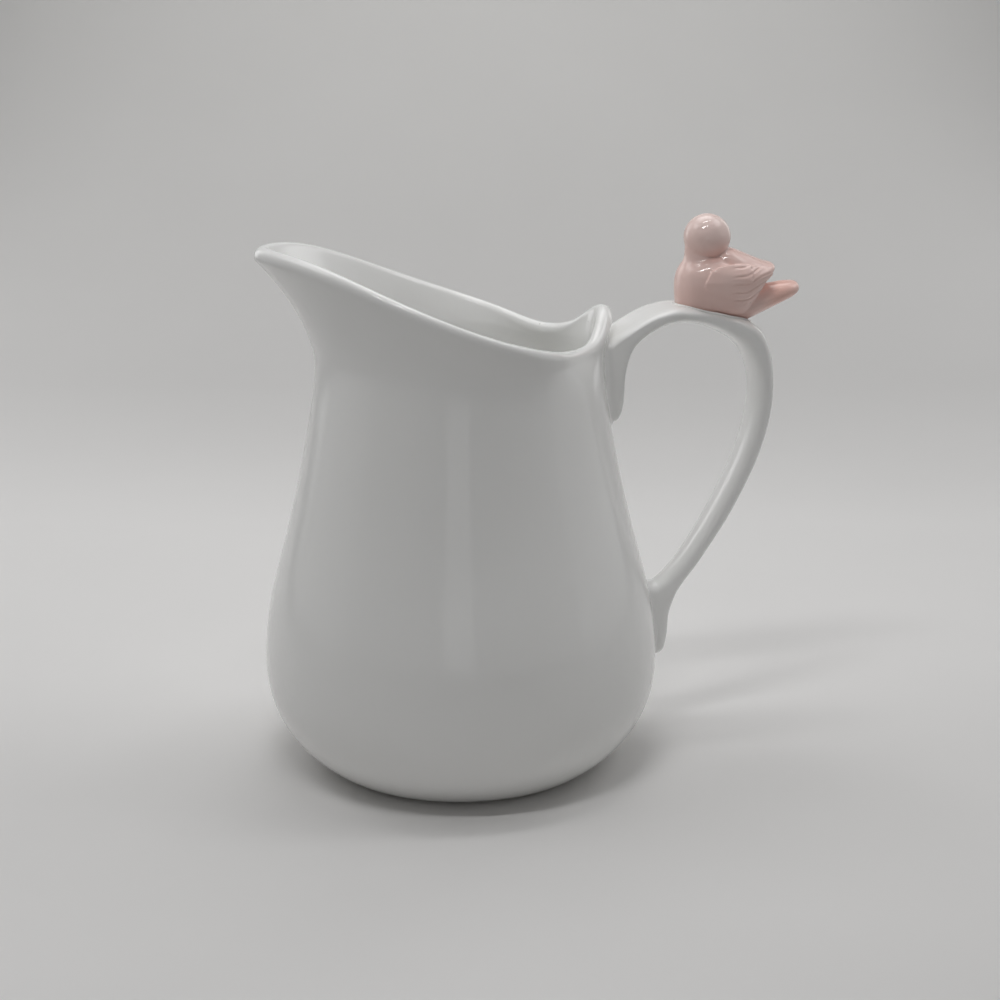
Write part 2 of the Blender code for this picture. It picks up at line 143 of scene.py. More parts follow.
def mouth(angle, radius, height):
    """Radius and height of a point of the turned blank once the mouth is formed and its wall leans out."""
    edge, pull = rim_base(angle)
    share = np.clip((height - FLARE_HEIGHT) / (LIP_BASE - FLARE_HEIGHT), 0, 1)
    formed = np.where(height > FLARE_HEIGHT, FLARE_HEIGHT + share * (edge - FLARE_HEIGHT), height)
    lean = np.arctan(FLARE_CURVE * pull * share ** (FLARE_CURVE - 1) / (edge - FLARE_HEIGHT))
    depth = (wall_radius(height) - radius) * (1 + (rim_wall(angle) / WALL - 1) * share ** 3)
    roll = np.maximum(height - LIP_BASE, 0)
    spread = wall_radius(formed) + pull * share ** FLARE_CURVE - depth * np.cos(lean) + roll * np.sin(lean)
    return spread, formed + depth * np.sin(lean) + roll * np.cos(lean)


def skin(name, rings, capped=True):
    """A smooth object whose surface runs from ring to ring of points."""
    rings = np.asarray(rings, float)
    count, sides = rings.shape[:2]
    faces = []
    for i in range(count - 1):
        for j in range(sides):
            k = (j + 1) % sides
            faces.append((i * sides + j, i * sides + k, (i + 1) * sides + k, (i + 1) * sides + j))
    if capped:
        faces.append(tuple(range(sides))[::-1])
        faces.append(tuple(range((count - 1) * sides, count * sides)))
    mesh = bpy.data.meshes.new(name)
    mesh.from_pydata([tuple(p) for p in rings.reshape(-1, 3)], [], faces)
    shape = bmesh.new()
    shape.from_mesh(mesh)
    bmesh.ops.recalc_face_normals(shape, faces=shape.faces)
    shape.to_mesh(mesh)
    shape.free()
    mesh.shade_smooth()
    mesh.set_sharp_from_angle(angle=CREASE_ANGLE)
    obj = bpy.data.objects.new(name, mesh)
    bpy.context.collection.objects.link(obj)
    return obj


def jug_section():
    """Half section of the jug from the middle of its floor, over the rim, to the middle of its base."""
    wall = wall_curve(20)
    neck = np.linspace(NECK[1], LIP_BASE, 22)[1:]
    wall = np.vstack([wall, np.column_stack([np.full(len(neck), NECK[0]), neck])])
    run = np.gradient(wall, axis=0)
    inward = np.column_stack([-run[:, 1], run[:, 0]]) / np.linalg.norm(run, axis=1)[:, None]
    inside = wall + inward * WALL
    inside = inside[inside[:, 1] > FLOOR + INNER_CORNER]
    start = inside[0]
    corner = np.array([start[0], FLOOR])
    turn = bezier(corner - FLOOR_TURN, corner - FLOOR_TURN_FULL, start - INNER_CORNER_FULL, start, 6)
    floor = [(r, FLOOR) for r in FLOOR_RINGS]
    t = np.linspace(pi, 0, 21)[1:-1]
    lip = np.column_stack([NECK[0] - WALL / 2 + np.cos(t) * WALL / 2, LIP_BASE + np.sin(t) * LIP_ROLL])
    outside = wall[::-1]
    outside = outside[outside[:, 1] > FOOT_EDGE]
    edge = bezier(outside[-1], outside[-1] - FOOT_EDGE_FULL, FOOT - FOOT_ROUND_FULL, FOOT - FOOT_ROUND, 4)
    base = [(r, 0.0) for r in BASE_RINGS]
    return np.vstack([floor, turn[:-1], inside, lip, outside, edge[1:], base])


section = jug_section()
turns = np.linspace(0, 2 * pi, JUG_SIDES, endpoint=False)
from_spout = np.abs((turns + pi) % (2 * pi) - pi)
radius, height = mouth(from_spout[None, :], section[:, :1], section[:, 1:])
jug = skin("jug_body_glazed", np.stack([-np.cos(turns) * radius, -np.sin(turns) * radius,
                                        height + 0 * radius], axis=2))


def srgb(code):
    """Linear colour of an sRGB hex value."""
    parts = [int(code[i:i + 2], 16) / 255 for i in (1, 3, 5)]
    return [p / 12.92 if p <= 0.04045 else ((p + 0.055) / 1.055) ** 2.4 for p in parts] + [1.0]


def material(name):
    """A new material with only its output and shader, and its node tree."""
    made = bpy.data.materials.new(name)
    made.use_nodes = True
    return made, made.node_tree


def node(tree, kind, inputs=None, **settings):
    """A node with its settings, and its inputs set to values or linked to (node, output) pairs."""
    made = tree.nodes.new(kind)
    for name, value in settings.items():
        setattr(made, name, value)
    for name, value in (inputs or {}).items():
        if isinstance(value, tuple) and isinstance(value[0], bpy.types.Node):
            tree.links.new(value[0].outputs[value[1]], made.inputs[name])
        else:
            made.inputs[name].default_value = value
    return made


# Glazed porcelain: a white body under a clear, fluid glaze. The eye sees a soft white with sharp, weak
# reflections, a very slight waviness where the glaze ran, and here and there a tiny fired-in speck.
CLOUD_SIZE = 38.0 * MM
SPECK_SPACING = 9.0 * MM
SPECK_CORE = 0.162 * MM
SPECK_EDGE = 0.306 * MM
SPECKED_SHARE = 0.30
SPECK_STRENGTH = 0.4
GLAZE_WAVE = 16.0 * MM
GLAZE_PEEL = 1.3 * MM
porcelain, tree = material("porcelain_clear_glazed")
place = node(tree, "ShaderNodeTexCoord")
clouds = node(tree, "ShaderNodeTexNoise", {"Vector": (place, "Object"), "Scale": 1 / CLOUD_SIZE,
                                           "Detail": 2.0})
tone = node(tree, "ShaderNodeMix", {"Factor": (clouds, "Fac"), "A": srgb("#F7F7F6"), "B": srgb("#F3F3F1")},
            data_type="RGBA")
cells = node(tree, "ShaderNodeTexVoronoi", {"Vector": (place, "Object"), "Scale": 1 / SPECK_SPACING})
spot = node(tree, "ShaderNodeMapRange", {"Value": (cells, "Distance"),
                                         "From Min": SPECK_CORE / SPECK_SPACING,
                                         "From Max": SPECK_EDGE / SPECK_SPACING,
                                         "To Min": 1.0, "To Max": 0.0})
pick = node(tree, "ShaderNodeSeparateColor", {"Color": (cells, "Color")})
few = node(tree, "ShaderNodeMath", {0: (pick, "Red"), 1: SPECKED_SHARE}, operation="LESS_THAN")
speck = node(tree, "ShaderNodeMath", {0: (spot, "Result"), 1: (few, "Value")}, operation="MULTIPLY")
faint = node(tree, "ShaderNodeMath", {0: (speck, "Value"), 1: SPECK_STRENGTH}, operation="MULTIPLY")
colour = node(tree, "ShaderNodeMix", {"Factor": (faint, "Value"), "A": (tone, "Result"),
                                      "B": srgb("#5A5248")}, data_type="RGBA")
flow = node(tree, "ShaderNodeTexNoise", {"Vector": (place, "Object"), "Scale": 1 / GLAZE_WAVE,
                                         "Detail": 1.0})
waves = node(tree, "ShaderNodeBump", {"Height": (flow, "Fac"), "Strength": 0.06, "Distance": 0.4 * MM})
peel = node(tree, "ShaderNodeTexNoise", {"Vector": (place, "Object"), "Scale": 1 / GLAZE_PEEL,
                                         "Detail": 0.0})
ripple = node(tree, "ShaderNodeBump", {"Height": (peel, "Fac"), "Strength": 0.1, "Distance": 0.12 * MM,
                                       "Normal": (waves, "Normal")})
shader = tree.nodes["Principled BSDF"]
tree.links.new(colour.outputs["Result"], shader.inputs["Base Color"])
tree.links.new(ripple.outputs["Normal"], shader.inputs["Normal"])
shader.inputs["Roughness"].default_value = 0.08
shader.inputs["IOR"].default_value = 1.5
jug.data.materials.append(porcelain)
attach(jug, "root")
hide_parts("jug_body")

# The handle is a strap of the same porcelain, cast by itself: wide and flat where it leaves the lip,
# narrower and rounder down the grip, with a pad at each end that lies along the wall.
# It is luted on with slip and glazed over.
STRAP_TOP = 13.0 * MM
STRAP_FOOT = 6.8 * MM
STRAP_CROWN = 3.5 * MM
STRAP_GRIP = 4.15 * MM
STRAP_TAPER = 1.5
STRAP_EDGE = 1.9 * MM
TOP_SHOULDER = 3.0 * MM
UNDER_SHOULDER = 2.6 * MM
HANDLE_CROWN = np.array([46.3, 95.85]) * MM
HANDLE_GRIP = np.array([66.9, 78.0]) * MM
UPPER_PAD = np.array([2.3, 15.7]) * MM
UPPER_PAD_TOP = 88.7 * MM
LOWER_PAD = np.array([4.1, 16.4]) * MM
LOWER_PAD_FOOT = 18.3 * MM
PAD_ROOT = 2.2 * MM
PAD_EASE = 1.6 * MM
PAD_EASE_STATIONS = 3
CROWN_SHARPENING = 0.6 * MM
GRIP_SHOULDER = 0.3
FOOT_SHOULDER_GAIN = 0.16
UNDER_GRIP_SHOULDER = 0.46
FULLEST_EDGE = 0.94
STRAP_STEPS = 10

# Stations along the strap, counted from the lip down to the belly.
UPPER_PAD_END = 4.5
TAPER_START = 5
ROUNDING_START = 5.5
CROWN_STATION = 6
GRIP_STATION = 9
FILLING_START = 12
LOWER_PAD_START = 12.5
ANKLE_STATION = 13


def on_wall(height):
    """A point of the wall behind the handle, in side view."""
    edge, pull = rim_base(pi)
    share = max((height - FLARE_HEIGHT) / (edge - FLARE_HEIGHT), 0)
    return np.array([wall_radius(height) + pull * share ** FLARE_CURVE, height])


def between(start, end, sideways, painted_sweep_shading):
    """A point at these shares of the way from start to end, in x and in height."""
    return start + (end - start) * np.array([sideways, painted_sweep_shading])


def strap_rails():
    """Outer edge, inner edge and width of the strap at its stations, from the lip down to the belly."""
    shoulder = on_wall(UPPER_PAD_TOP)
    heel = on_wall(UPPER_PAD_TOP - UPPER_PAD[1])
    toe = on_wall(LOWER_PAD_FOOT)
    ankle = toe + LOWER_PAD * (1.5, 0.9)
    crotch = on_wall(LOWER_PAD_FOOT + LOWER_PAD[1])
    root = np.array([PAD_ROOT, PAD_ROOT])
    outer = [shoulder + root * (-1.0, -0.5)]
    rise = ((0.05, 0.12), (0.14, 0.26), (0.25, 0.41), (0.44, 0.65), (0.67, 0.88), (1, 1))
    outer += [between(shoulder, HANDLE_CROWN, *s) for s in rise]
    bend = ((0.48, 0.106), (0.865, 0.35), (1, 1))
    outer += [between(HANDLE_CROWN, HANDLE_GRIP, *s) for s in bend]
    fall = ((0.092, 0.276), (0.391, 0.579), (0.757, 0.841), (1, 1))
    outer += [between(HANDLE_GRIP, ankle, *s) for s in fall]
    outer += [toe + LOWER_PAD * s for s in ((1.1, 0.58), (1.0, 0.25), (0.72, 0.05))]
    outer += [toe + root * (-1.0, 0.0)]
    inner = [heel + root * (-1.0, 0.0)]
    inner += [heel + UPPER_PAD * s for s in ((0.45, -0.04), (1.0, 0.13), (1.04, 0.5))]
    crown_offsets = ((-0.63, -1.87), (-0.58, -1.3), (-0.09, -0.99), (-0.6, -1.07))
    inner += [outer[4 + i] + STRAP_CROWN * np.array(s) for i, s in enumerate(crown_offsets)]
    grip_offsets = ((-0.92, -0.99), (-1.0, -0.18), (-0.964, 0.18), (-0.855, 0.386), (-0.747, 0.482))
    inner += [outer[8 + i] + STRAP_GRIP * np.array(s) for i, s in enumerate(grip_offsets)]
    inner += [crotch + LOWER_PAD * s for s in ((1.12, 0.15), (0.44, 0.02))]
    inner += [crotch + root * s for s in ((-0.3, -0.06), (-0.6, -0.1), (-1.0, -0.12))]
    taper = np.clip((np.arange(len(outer)) - TAPER_START) / (ANKLE_STATION - TAPER_START), 0, 1)
    width = STRAP_TOP + (STRAP_FOOT - STRAP_TOP) * taper ** STRAP_TAPER
    return np.array(outer), np.array(inner), width


def smooth_run(points, steps):
    """A smooth curve through the points."""
    run = [points[:1]]
    for i in range(len(points) - 1):
        before, here, there = points[max(i - 1, 0)], points[i], points[i + 1]
        after = points[min(i + 2, len(points) - 1)]
        third = np.linalg.norm(there - here) / 3
        lead = (there - before) / max(np.linalg.norm(there - before), 1e-9) * third
        trail = (after - here) / max(np.linalg.norm(after - here), 1e-9) * third
        run.append(bezier(here, here + lead, there - trail, there, steps)[1:])
    return np.vstack(run)


strap_outer, strap_inner, strap_width = strap_rails()
strap_outer = smooth_run(strap_outer, STRAP_STEPS)
strap_inner = smooth_run(strap_inner, STRAP_STEPS)
strap_width = smooth_run(np.column_stack([strap_width, 0 * strap_width]), STRAP_STEPS)[:, 0]


def strap_rings():
    """Sections of the strap: a crowned top with full shoulders near the lip, nearly oval down the grip."""
    rings = []
    for i, (outer, inner, width) in enumerate(zip(strap_outer, strap_inner, strap_width)):
        middle, across = (outer + inner) / 2, outer - inner
        depth = np.linalg.norm(across) / 2
        across = across / (2 * depth)
        station = i / STRAP_STEPS
        grip = np.clip((station - ROUNDING_START) / 3, 0, 1)
        under = np.clip((station - UPPER_PAD_END) / 2, 0, 1)
        full = GRIP_SHOULDER + FOOT_SHOULDER_GAIN * np.clip((station - FILLING_START) / 2, 0, 1)
        ring = []
        for corner in range(4):
            side = 1 if corner in (0, 3) else -1
            face = 1 if corner in (0, 1) else -1
            if face > 0:
                shoulder = (1 - grip) * TOP_SHOULDER + grip * full * width
                sharp = CROWN_SHARPENING * (1 - grip)
                pad = np.clip(station - LOWER_PAD_START, 0, PAD_EASE_STATIONS)
            else:
                shoulder = (1 - under) * UNDER_SHOULDER + under * UNDER_GRIP_SHOULDER * width
                sharp = 0.0
                pad = np.clip(UPPER_PAD_END - station, 0, PAD_EASE_STATIONS)
            edge = min(STRAP_EDGE - sharp + PAD_EASE * pad, FULLEST_EDGE * depth)
            for t in np.linspace(corner * pi / 2, (corner + 1) * pi / 2, 9):
                y = side * (width / 2 - shoulder) + shoulder * cos(t)
                spot = middle + across * (face * (depth - edge) + edge * sin(t))
                ring.append((spot[0], y, spot[1]))
        rings.append(ring)
    return np.array(rings)


handle_rings = strap_rings()
handle = skin("handle_strap", handle_rings)
handle.data.materials.append(porcelain)
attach(handle, "root")
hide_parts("handle")

# The upper and lower pads are luted to the wall with slip, wiped to a small hollow fillet all round.
# The glaze runs over it, so the joint shows as a soft crease rather than an edge.
UPPER_FILLET = 2.0 * MM
LOWER_FILLET = 2.6 * MM
FILLET_SINK = 0.5 * MM
FILLET_UNDER_PAD = 0.6 * MM
FILLET_FEATHER = 0.03 * MM


def clear_of_wall(points):
    """How far points stand outside the jug's formed wall."""
    angle = np.abs(np.arctan2(points[..., 1], -points[..., 0]))
    edge, pull = rim_base(angle)
    share = np.clip((points[..., 2] - FLARE_HEIGHT) / (edge - FLARE_HEIGHT), 0, 1)
    wall = wall_radius(points[..., 2]) + pull * share ** FLARE_CURVE
    return np.hypot(points[..., 0], points[..., 1]) - wall


def set_on_wall(points, stand):
    """The points moved sideways from the axis until they stand this far outside the wall."""
    reach = np.hypot(points[..., 0], points[..., 1])
    grown = (reach - clear_of_wall(points) + stand) / reach
    return points * np.stack([grown, grown, np.ones_like(grown)], axis=-1)


def where_clear(lines, stand):
    """On each line of points that leaves the wall, the point that stands this far out."""
    gaps = clear_of_wall(lines)
    found = []
    for line, gap in zip(lines, gaps):
        i = int(np.argmax(gap > stand))
        share = (stand - gap[i - 1]) / (gap[i] - gap[i - 1])
        found.append(line[i - 1] + share * (line[i] - line[i - 1]))
    return np.array(found)


def slip_fillet(name, lines, size):
    """A hollow fillet of slip round a pad, from the pad's side down to the wall."""
    foot = where_clear(lines, 0.0)
    top = where_clear(lines, size)
    middle = foot.mean(axis=0)
    along = np.roll(foot, -1, axis=0) - np.roll(foot, 1, axis=0)
    up = foot * (1, 1, 0)
    out = np.cross(along, up)
    out /= np.linalg.norm(out, axis=1)[:, None] + 1e-12
    out *= np.sign(np.sum(out * (foot - middle), axis=1))[:, None]
    base = set_on_wall(foot + out * size, -FILLET_FEATHER)
    rings = [(1 - t) ** 2 * top + 2 * t * (1 - t) * foot + t ** 2 * base for t in np.linspace(0, 1, 9)]
    sunk = set_on_wall(base, -FILLET_SINK)
    inner = set_on_wall(foot - out * FILLET_UNDER_PAD, -FILLET_SINK)
    rings += [sunk, inner, top - out * FILLET_SINK, top]
    obj = skin(name, rings, capped=False)
    obj.data.materials.append(porcelain)
    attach(obj, "root")
    return obj


upper_lines = handle_rings[:(CROWN_STATION - 1) * STRAP_STEPS].transpose(1, 0, 2)
upper_fillet = slip_fillet("upper_slip_fillet", upper_lines, UPPER_FILLET)
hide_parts("upper_slip_joint")
lower_lines = handle_rings[:(ANKLE_STATION - 2) * STRAP_STEPS:-1].transpose(1, 0, 2)
lower_fillet = slip_fillet("lower_slip_fillet", lower_lines, LOWER_FILLET)
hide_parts("lower_slip_joint")

# The bird is cast solid in the same clay and luted to the strap: a plump body along the strap, a round head
# turned to the far side, folded wings with pressed feather lines and a short tail turned up.
# Its glaze is pale pink.
BODY_SIZE = Vector((16.2, 13.4, 12.6)) * MM
BODY_SINK = 1.6 * MM
BODY_BEHIND_CROWN = 7.9 * MM
BODY_FROM_PERCH = Vector((1.4, 0.0, 0.0)) * MM
BODY_SQUARENESS = 2.5
HEAD_SIZE = Vector((9.8, 9.7, 9.7)) * MM
HEAD_FROM_BODY = Vector((-1.4, 0.0, 10.2)) * MM
BEAK_FROM_HEAD = Vector((0.0, 5.6, 0.0)) * MM
BEAK_LENGTH = 4.0 * MM
BEAK_ROOT = 1.5 * MM
BEAK_TIP = 0.3 * MM
CLAY_GRAIN = 0.2 * MM


def bird_perch():
    """Middle of the bird's body above the strap, behind the crown, and the strap's slope there."""
    crown = strap_outer[np.argmax(strap_outer[:, 1])]
    run = strap_outer[CROWN_STATION * STRAP_STEPS:GRIP_STATION * STRAP_STEPS]
    x = crown[0] + BODY_BEHIND_CROWN
    z = np.interp(x, run[:, 0], run[:, 1])
    fall = z - np.interp(x + MM, run[:, 0], run[:, 1])
    return Vector((x, 0.0, z + BODY_SIZE.z / 2 - BODY_SINK)), atan2(fall, MM)


perch, perch_slope = bird_perch()


def add_ball(shape, centre, size, turn=Matrix(), squareness=2.0):
    """Add a full or plain ellipsoid to the clay."""
    made = bmesh.ops.create_uvsphere(shape, u_segments=48, v_segments=28, radius=0.5)["verts"]
    for vertex in made:
        vertex.co *= 0.5 * sum(abs(c) ** squareness for c in vertex.co) ** (-1 / squareness)
    place = Matrix.Translation(centre) @ turn @ Matrix.Diagonal((*size, 1.0))
    bmesh.ops.transform(shape, matrix=place, verts=made)


def add_rings(shape, rings):
    """Add a closed form to the clay, from ring to ring."""
    made = [[shape.verts.new(p) for p in ring] for ring in rings]
    for near, far in zip(made, made[1:]):
        for i in range(len(near)):
            j = (i + 1) % len(near)
            shape.faces.new((near[i], near[j], far[j], far[i]))
    shape.faces.new(made[0][::-1])
    shape.faces.new(made[-1])


# Side view of the folded wing, from the middle of the body: back and up, in millimetres.
WING_OUTLINE = [(-3.6, 1.6), (-2.0, 4.0), (1.4, 5.2), (5.6, 5.0), (9.4, 4.2), (11.7, 3.2),
                (10.5, 1.5), (9.2, -0.4), (7.8, -2.3), (5.4, -3.3), (1.8, -2.6), (-1.8, -0.9)]
WING_MIDDLE = np.array([4.6, 1.6]) * MM
WING_OUT = 5.6 * MM
WING_THICKNESS = 2.0 * MM
WING_TURN = radians(5)


def wing_frame(side):
    """Where a wing's outline lies in space: its middle, and its turn in towards the tail."""
    middle = perch + Vector((WING_MIDDLE[0], side * WING_OUT, 0.0))
    return Matrix.Translation(middle) @ Matrix.Rotation(-side * WING_TURN, 4, "Z")


def add_wing(shape, side):
    """Add a pillow-shaped wing to the clay."""
    outline = np.array(WING_OUTLINE + WING_OUTLINE[:3]) * MM
    outline = smooth_run(outline, 6)[6:-12]
    place = wing_frame(side)
    rings = []
    for t in np.linspace(-0.97, 0.97, 15):
        ring = WING_MIDDLE + (outline - WING_MIDDLE) * (1 - abs(t)) ** 0.5
        rings.append([place @ Vector((x - WING_MIDDLE[0], t * WING_THICKNESS, z)) for x, z in ring])
    add_rings(shape, rings)


# Sections across the back and the tail: back, up, width and depth, in millimetres from the middle of the body.
BACK_SECTIONS = [(-0.5, 4.0, 7.0, 8.0), (1.6, 4.4, 9.4, 7.8), (4.4, 4.2, 10.8, 7.0), (8.0, 2.7, 10.6, 7.0),
                 (10.8, 2.9, 9.4, 4.4), (12.2, 3.5, 7.4, 2.5), (12.9, 3.8, 4.6, 1.3)]
TAIL_SECTIONS = [(3.5, -4.0, 9.4, 7.6), (7.5, -3.8, 8.8, 7.0), (10.2, -3.1, 8.2, 6.1),
                 (12.4, -2.5, 7.6, 5.3), (15.1, -1.7, 7.2, 4.4), (17.0, -1.2, 6.6, 3.6),
                 (18.1, -0.9, 5.2, 2.7), (18.7, -0.8, 2.8, 1.4)]


def add_loft(shape, sections):
    """Add a form of oval sections along the body to the clay."""
    rings = []
    for back, above, width, depth in smooth_run(np.array(sections), 4) * MM:
        ring = [perch + Vector((back, width / 2 * cos(t), above + depth / 2 * sin(t)))
                for t in np.linspace(0, 2 * pi, 28, endpoint=False)]
        rings.append(ring)
    add_rings(shape, rings)


# Level sections up the breast and the neck: height, front, back and width, in millimetres.
BREAST_SECTIONS = [(-5.6, -6.2, 4.0, 8.6), (-4.0, -7.6, 5.0, 10.6), (-2.0, -8.0, 5.0, 11.8),
                   (0.5, -8.1, 5.0, 12.2), (2.4, -7.85, 4.8, 11.8), (3.6, -7.45, 4.6, 11.0),
                   (4.6, -6.9, 4.2, 9.4), (5.4, -6.4, 3.4, 7.4), (6.4, -6.15, 2.4, 6.4),
                   (8.6, -6.1, 1.4, 6.0)]


def add_breast(shape):
    """Add the upright breast and neck to the clay."""
    rings = []
    for above, front, rear, width in smooth_run(np.array(BREAST_SECTIONS), 4) * MM:
        ring = [perch + Vector(((front + rear) / 2 + (rear - front) / 2 * cos(t), width / 2 * sin(t), above))
                for t in np.linspace(0, 2 * pi, 36, endpoint=False)]
        rings.append(ring)
    add_rings(shape, rings)


clay = bmesh.new()
add_ball(clay, perch + BODY_FROM_PERCH, BODY_SIZE, Matrix.Rotation(perch_slope, 4, "Y"), BODY_SQUARENESS)
head_place = perch + HEAD_FROM_BODY
add_ball(clay, head_place, HEAD_SIZE)
add_breast(clay)
for side in (-1, 1):
    add_wing(clay, side)
add_loft(clay, BACK_SECTIONS)
add_loft(clay, TAIL_SECTIONS)
beak_place = Matrix.Translation(head_place + BEAK_FROM_HEAD) @ Matrix.Rotation(-pi / 2, 4, "X")
bmesh.ops.create_cone(clay, cap_ends=True, segments=24, radius1=BEAK_ROOT, radius2=BEAK_TIP,
                      depth=BEAK_LENGTH, matrix=beak_place)
bmesh.ops.recalc_face_normals(clay, faces=clay.faces)
rough_mesh = bpy.data.meshes.new("bird_clay")
clay.to_mesh(rough_mesh)
clay.free()
rough = bpy.data.objects.new("bird_clay", rough_mesh)
bpy.context.collection.objects.link(rough)
pressed = rough.modifiers.new("pressed", "REMESH")
pressed.mode = "VOXEL"
pressed.voxel_size = CLAY_GRAIN
eased = rough.modifiers.new("eased", "SMOOTH")
eased.factor = 0.5
eased.iterations = 10
bird_mesh = bpy.data.meshes.new_from_object(rough.evaluated_get(bpy.context.evaluated_depsgraph_get()))
bpy.data.objects.remove(rough)

# The pressed feathers, in millimetres.
FEATHER_WIDTH = 1.7
FEATHER_CROWN = 0.10
GROOVE_WIDTH = 0.26
GROOVE_DEPTH = 0.2
COVERT_STEP = 0.20
COVERT_EDGE = 1.3
COVERT_SCALLOP = 0.5
COVERT_SLANT = 0.12
COVERT_LENGTH = 2.6
FAN_SLOPE = 0.16
FAN_CURVE = 0.018
FAN_WAVER = 0.2
FLIGHT_START = -3.2
FLIGHT_RUN = 2.2
PRESSED_LENGTH = 9.0
PRESSED_HEIGHT = 4.6
PRESSED_EDGE = 1.15
PRESSED_FADE = 0.2


def feather_height(u, v):
    """Height of the wing's feathers, by how far back and up from the middle of the wing, in millimetres."""
    fan = v - FAN_SLOPE * u - FAN_CURVE * (u + 2) ** 2 + FAN_WAVER * np.sin(1.1 * u + 0.7)
    lanes = (fan + 0.4) / FEATHER_WIDTH
    off = lanes - np.round(lanes)
    groove = np.exp(-(off * FEATHER_WIDTH / GROOVE_WIDTH) ** 2)
    flight = np.clip((u - FLIGHT_START) / FLIGHT_RUN, 0, 1)
    rise = (FEATHER_CROWN * np.cos(off * pi) ** 2 - GROOVE_DEPTH * groove) * flight
    before = u - COVERT_EDGE - COVERT_SCALLOP * np.cos(off * pi) - COVERT_SLANT * v
    tier = np.clip(v + 0.6, 0, 1)
    return rise + tier * COVERT_STEP * np.clip(1 + before / COVERT_LENGTH, 0, 1) * (before < 0)


# How the pink glaze is coloured: warmer on the tail, paler over the head as a painted sheen, deeper where it
# pools in the feather lines, and darker above the strap, partly pooled glaze and partly painted shade.
# Places are in millimetres back and up from the middle of the body, and strengths are shares.
TAIL_START = 9
TAIL_TIP = 15
TAIL_RUN = 4
TAIL_TOP = 1.6
TAIL_TIP_FADE = 0.6
SHEEN_START = 8
SHEEN_RUN = 6
SHEEN_STRENGTH = 0.55
POOL_AND_SHADE_RISE = 4.5
BASE_POOL_AND_SHADE = 0.45
POOL_AND_SHADE_STRENGTH = 0.6
points, normals = np.empty((2, len(bird_mesh.vertices), 3))
bird_mesh.vertices.foreach_get("co", points.ravel())
bird_mesh.vertices.foreach_get("normal", normals.ravel())
strap_run = strap_outer[(CROWN_STATION - 1) * STRAP_STEPS:GRIP_STATION * STRAP_STEPS]
over_strap = points[:, 2] - np.interp(points[:, 0], strap_run[:, 0], strap_run[:, 1])
# Just above the strap the pink is darker: partly glaze pooled at the base, partly painted shade.
pool_and_shade = BASE_POOL_AND_SHADE * np.clip(1 - over_strap / (POOL_AND_SHADE_RISE * MM), 0, 1)
for side in (-1, 1):
    back = np.array(wing_frame(side).inverted())
    local = (points @ back[:3, :3].T + back[:3, 3]) / MM
    facing = normals @ back[:3, :3].T
    u, v = local[:, 0], local[:, 2] - WING_MIDDLE[1] / MM
    within = np.clip((PRESSED_EDGE - np.hypot(u / PRESSED_LENGTH, v / PRESSED_HEIGHT)) / PRESSED_FADE, 0, 1)
    outside = np.clip((local[:, 1] * side + 0.4) / 0.6, 0, 1) * np.clip(facing[:, 1] * side / 0.35, 0, 1)
    pressing = feather_height(u, v) * within * outside
    points += normals * (pressing * MM)[:, None]
    pool_and_shade = np.maximum(pool_and_shade, np.clip(-pressing / GROOVE_DEPTH, 0, 1))
bird_mesh.vertices.foreach_set("co", points.ravel())
back, _, above = ((points - np.array(perch)) / MM).T
tail = np.clip((back - TAIL_START) / TAIL_RUN, 0, 1) * np.clip(TAIL_TOP - above, 0, 1)
tail *= 1 - TAIL_TIP_FADE * np.clip((back - TAIL_TIP) / TAIL_RUN, 0, 1)
# The top of the head is painted paler: a painted sheen in the colour.
painted_sheen = SHEEN_STRENGTH * np.clip((above - SHEEN_START) / SHEEN_RUN, 0, 1)
for name, share in (("tail_tint", tail), ("painted_head_sheen", painted_sheen), ("glaze_pool_and_shade", POOL_AND_SHADE_STRENGTH * pool_and_shade)):
    bird_mesh.attributes.new(name, "FLOAT", "POINT").data.foreach_set("value", share)
bird_mesh.shade_smooth()
bird_mesh.update()
bird = bpy.data.objects.new("bird_figure", bird_mesh)
bpy.context.collection.objects.link(bird)

# Pink glazed porcelain: a tinted glaze with the same sharp shine as the jug's. It is palest over the head,
# where a sheen is painted into the colour, warmer on the tail, and deeper where it pools in the feather lines
# and at the base, where painted shade is added as well.
PINK_CLOUD_SIZE = 6.0 * MM
PINK_WAVE = 1.6 * MM
pink, tree = material("porcelain_pink_glazed")
place = node(tree, "ShaderNodeTexCoord")
clouds = node(tree, "ShaderNodeTexNoise", {"Vector": (place, "Object"), "Scale": 1 / PINK_CLOUD_SIZE,
                                           "Detail": 2.0})
colour = node(tree, "ShaderNodeMix", {"Factor": (clouds, "Fac"), "A": srgb("#F8DCD5"), "B": srgb("#F1CCC3")},
              data_type="RGBA")
for name, tint in (("tail_tint", "#F2C6BA"), ("painted_head_sheen", "#F8E8E3"), ("glaze_pool_and_shade", "#C08D80")):
    where = node(tree, "ShaderNodeAttribute", attribute_name=name)
    colour = node(tree, "ShaderNodeMix", {"Factor": (where, "Fac"), "A": (colour, "Result"),
                                          "B": srgb(tint)}, data_type="RGBA")
flow = node(tree, "ShaderNodeTexNoise", {"Vector": (place, "Object"), "Scale": 1 / PINK_WAVE, "Detail": 1.0})
waves = node(tree, "ShaderNodeBump", {"Height": (flow, "Fac"), "Strength": 0.45, "Distance": 0.1 * MM})
shader = tree.nodes["Principled BSDF"]
tree.links.new(colour.outputs["Result"], shader.inputs["Base Color"])
tree.links.new(waves.outputs["Normal"], shader.inputs["Normal"])
shader.inputs["Roughness"].default_value = 0.07
shader.inputs["IOR"].default_value = 1.5
bird.data.materials.append(pink)
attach(bird, "root")
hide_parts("bird")

